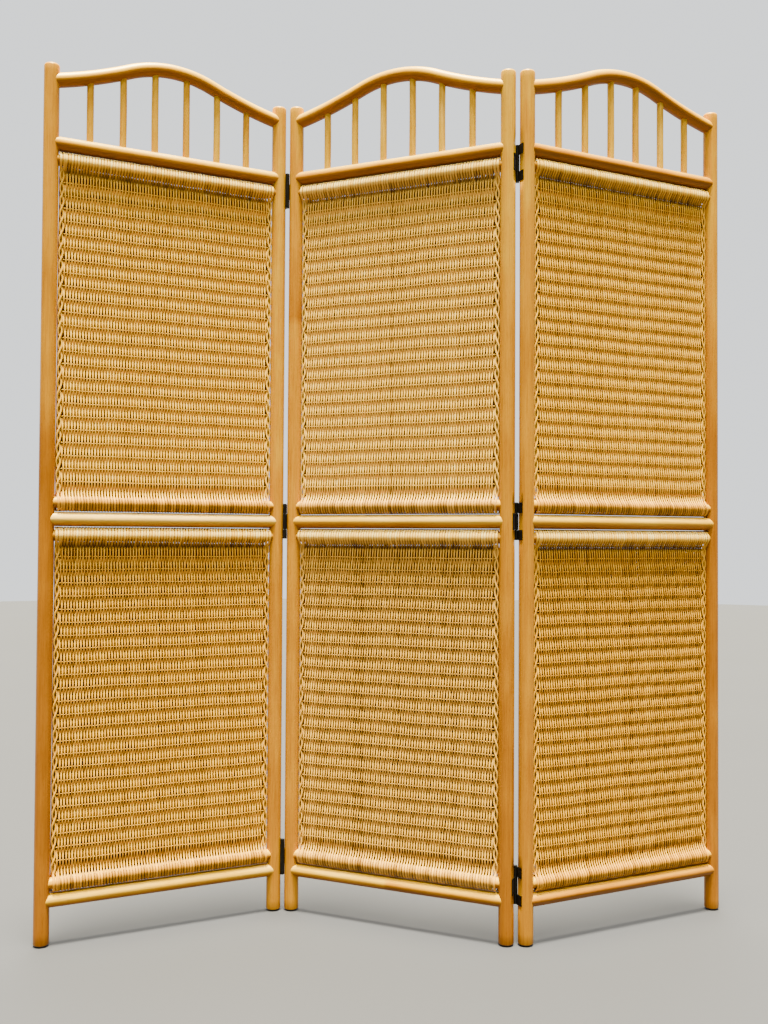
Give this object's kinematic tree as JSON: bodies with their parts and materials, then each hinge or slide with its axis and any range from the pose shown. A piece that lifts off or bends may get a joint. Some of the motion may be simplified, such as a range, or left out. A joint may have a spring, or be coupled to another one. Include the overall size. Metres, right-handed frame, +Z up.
{
  "type": "folding screen",
  "caption": "Free-standing rattan folding screen: pole-framed panels with woven mats, a spindle gallery under a bowed top rail, and hinges that fold it zigzag.",
  "frame": {"origin": "on the floor, under the middle of the centre panel", "axes": "+Z up; +X along the line of the screen to the viewer's right; -Y towards the viewer"},
  "size_m": [1.466, 0.2424, 1.8483],
  "materials": {
    "lacquered_rattan_pole": "satin lacquer",
    "lacquered_rattan_rail": "satin lacquer",
    "rattan_spindle": "satin lacquer",
    "woven_rattan_core": "clear matt varnish",
    "beech_dowel": "raw",
    "black_hinge_steel": "black lacquer",
    "pin_steel": "blackened",
    "black_glide": "matt"
  },
  "bodies": {
    "left_panel": {"left_left_stile": "lacquered_rattan_pole", "left_right_stile": "lacquered_rattan_pole", "left_arched_rail": "lacquered_rattan_rail", "left_upper_rail": "lacquered_rattan_rail", "left_middle_rail": "lacquered_rattan_rail", "left_bottom_rail": "lacquered_rattan_rail", "left_spindles": "rattan_spindle", "left_upper_mat_poles": "lacquered_rattan_rail", "left_lower_mat_poles": "lacquered_rattan_rail", "left_upper_mat": "woven_rattan_core", "left_lower_mat": "woven_rattan_core", "left_dowels": "beech_dowel", "left_glides": "black_glide", "left_hinge_screws": "black_hinge_steel", "left_fold_top_outer_plates": "black_hinge_steel", "left_fold_middle_outer_plates": "black_hinge_steel", "left_fold_bottom_outer_plates": "black_hinge_steel", "left_fold_hinge_pins": "pin_steel"},
    "centre_panel": {"centre_left_stile": "lacquered_rattan_pole", "centre_right_stile": "lacquered_rattan_pole", "centre_arched_rail": "lacquered_rattan_rail", "centre_upper_rail": "lacquered_rattan_rail", "centre_middle_rail": "lacquered_rattan_rail", "centre_bottom_rail": "lacquered_rattan_rail", "centre_spindles": "rattan_spindle", "centre_upper_mat_poles": "lacquered_rattan_rail", "centre_lower_mat_poles": "lacquered_rattan_rail", "centre_upper_mat": "woven_rattan_core", "centre_lower_mat": "woven_rattan_core", "centre_dowels": "beech_dowel", "centre_glides": "black_glide", "centre_hinge_screws": "black_hinge_steel", "left_fold_top_inner_plate": "black_hinge_steel", "left_fold_middle_inner_plate": "black_hinge_steel", "left_fold_bottom_inner_plate": "black_hinge_steel", "right_fold_top_inner_plate": "black_hinge_steel", "right_fold_middle_inner_plate": "black_hinge_steel", "right_fold_bottom_inner_plate": "black_hinge_steel"},
    "right_panel": {"right_left_stile": "lacquered_rattan_pole", "right_right_stile": "lacquered_rattan_pole", "right_arched_rail": "lacquered_rattan_rail", "right_upper_rail": "lacquered_rattan_rail", "right_middle_rail": "lacquered_rattan_rail", "right_bottom_rail": "lacquered_rattan_rail", "right_spindles": "rattan_spindle", "right_upper_mat_poles": "lacquered_rattan_rail", "right_lower_mat_poles": "lacquered_rattan_rail", "right_upper_mat": "woven_rattan_core", "right_lower_mat": "woven_rattan_core", "right_dowels": "beech_dowel", "right_glides": "black_glide", "right_hinge_screws": "black_hinge_steel", "right_fold_top_outer_plates": "black_hinge_steel", "right_fold_middle_outer_plates": "black_hinge_steel", "right_fold_bottom_outer_plates": "black_hinge_steel", "right_fold_hinge_pins": "pin_steel"}
  },
  "joints": [
    {"name": "left_fold", "type": "hinge", "parent": "centre_panel", "child": "left_panel", "pos_m": [-0.24565, 0.09645, 0.8635], "axis": [0, 0, 1], "range_deg": [-36, 130]},
    {"name": "right_fold", "type": "hinge", "parent": "centre_panel", "child": "right_panel", "pos_m": [0.24565, -0.09645, 0.8635], "axis": [0, 0, 1], "range_deg": [-36, 130]}
  ]
}
